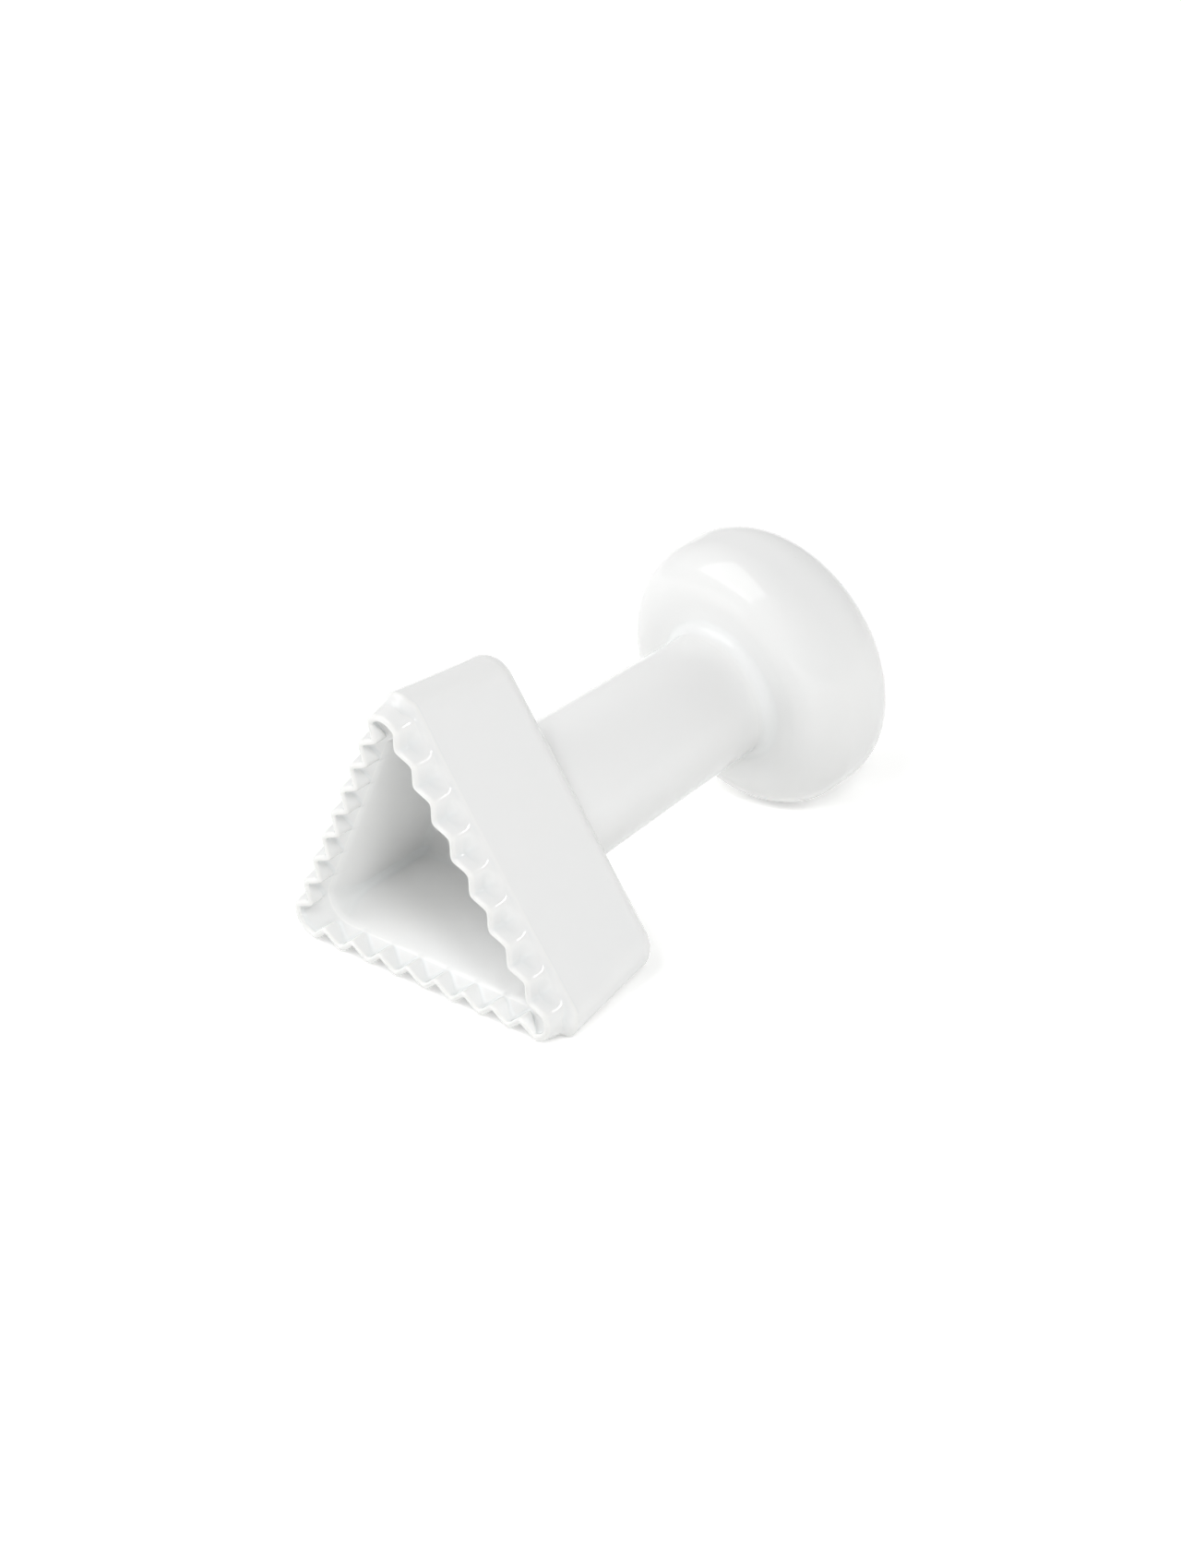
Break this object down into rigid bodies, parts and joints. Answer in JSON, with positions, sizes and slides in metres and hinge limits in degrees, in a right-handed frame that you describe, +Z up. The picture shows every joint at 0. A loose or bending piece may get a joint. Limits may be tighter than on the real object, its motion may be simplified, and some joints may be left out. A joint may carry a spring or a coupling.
{
  "type": "ravioli stamp",
  "caption": "Three-sided porcelain pasta cutter: hollow cup with a zigzag cutting rim, tapered stem and round palm knob, lying on its side.",
  "frame": {"origin": "under the middle of the part's box, on the surface that the stamp lies on", "axes": "+Y along the stamp from the open cup to the knob, nearly level; +Z up, towards one corner of the three-sided cup; +X across"},
  "size_m": [0.0658, 0.1002, 0.058],
  "materials": {
    "glazed_porcelain": "white porcelain under a clear glossy glaze",
    "glazed_slip": "white slip joint under the same clear glossy glaze, a little uneven"
  },
  "bodies": {
    "root": {"cutter_cup": "glazed_porcelain", "cup_luting_bead": "glazed_slip", "stem": "glazed_porcelain", "knob_luting_ring": "glazed_slip", "knob": "glazed_porcelain"}
  },
  "joints": []
}
